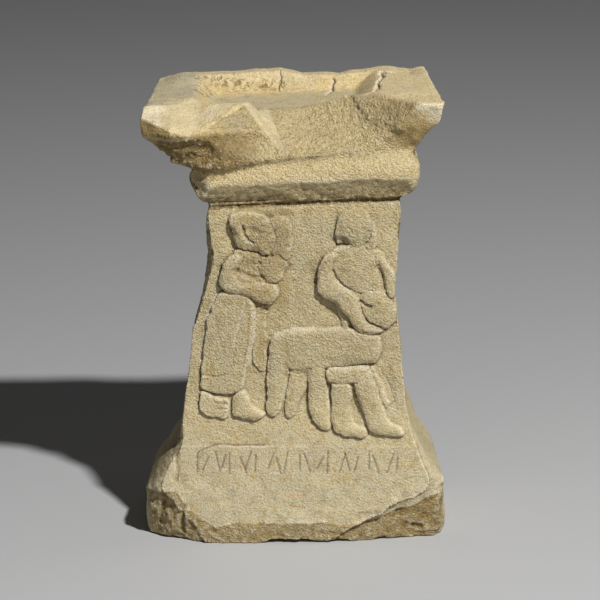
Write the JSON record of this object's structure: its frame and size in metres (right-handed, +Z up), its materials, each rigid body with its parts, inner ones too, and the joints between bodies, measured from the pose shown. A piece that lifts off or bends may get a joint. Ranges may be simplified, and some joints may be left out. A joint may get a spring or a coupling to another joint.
{
  "type": "limestone altar",
  "caption": "Small carved limestone altar: spreading base, waisted shaft with a relief, round moulding, and a broken spreading cap with a shallow basin in its top.",
  "frame": {"origin": "on the floor under the middle of the altar's overall box", "axes": "+Z up; the relief faces -Y; +X to the right of someone who looks at the relief"},
  "size_m": [0.185, 0.124, 0.275],
  "materials": {
    "limestone": "matte"
  },
  "bodies": {
    "root": {"altar": "limestone"}
  },
  "joints": []
}
